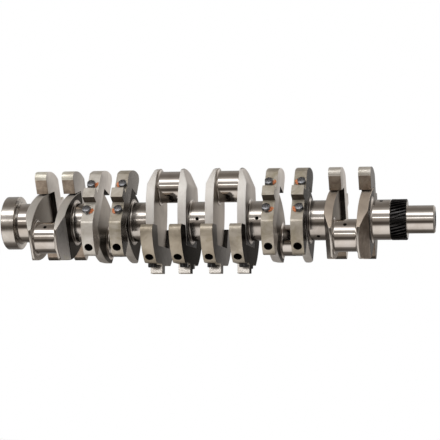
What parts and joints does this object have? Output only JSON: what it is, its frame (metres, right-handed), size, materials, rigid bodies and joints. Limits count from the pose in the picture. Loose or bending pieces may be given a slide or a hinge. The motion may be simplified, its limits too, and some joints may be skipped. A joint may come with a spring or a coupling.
{
  "type": "crankshaft",
  "caption": "Forged in-line diesel crankshaft with throws at 120 degrees, bolted counterweights on its webs, a helical gear and plain nose, and a flywheel flange.",
  "frame": {"origin": "centre of the flywheel flange's outer face, on the main journals' axis", "axes": "+X along the main journals from the flange to the nose, +Z towards the two middle crankpins"},
  "size_m": [1.04, 0.2468, 0.251],
  "materials": {
    "forged_steel": "ground journals, shot-blasted flanks",
    "cast_weight": "machined cast surface with light stains",
    "black_gear": "black oxide",
    "bolt_steel": "dark zinc phosphate",
    "plain_steel": "ground"
  },
  "bodies": {
    "root": {"crank_forging": "forged_steel", "crank_gear": "black_gear", "gear_key": "plain_steel", "flange_dowel": "plain_steel", "counterweight_1": "cast_weight", "counterweight_2": "cast_weight", "counterweight_3": "cast_weight", "counterweight_4": "cast_weight", "counterweight_5": "cast_weight", "counterweight_6": "cast_weight", "counterweight_7": "cast_weight", "counterweight_8": "cast_weight", "counterweight_9": "cast_weight", "counterweight_10": "cast_weight", "counterweight_11": "cast_weight", "counterweight_12": "cast_weight", "counterweight_bolts_1": "bolt_steel", "counterweight_bolts_2": "bolt_steel", "counterweight_bolts_3": "bolt_steel", "counterweight_bolts_4": "bolt_steel", "counterweight_bolts_5": "bolt_steel", "counterweight_bolts_6": "bolt_steel", "counterweight_bolts_7": "bolt_steel", "counterweight_bolts_8": "bolt_steel", "counterweight_bolts_9": "bolt_steel", "counterweight_bolts_10": "bolt_steel", "counterweight_bolts_11": "bolt_steel", "counterweight_bolts_12": "bolt_steel"}
  },
  "joints": []
}
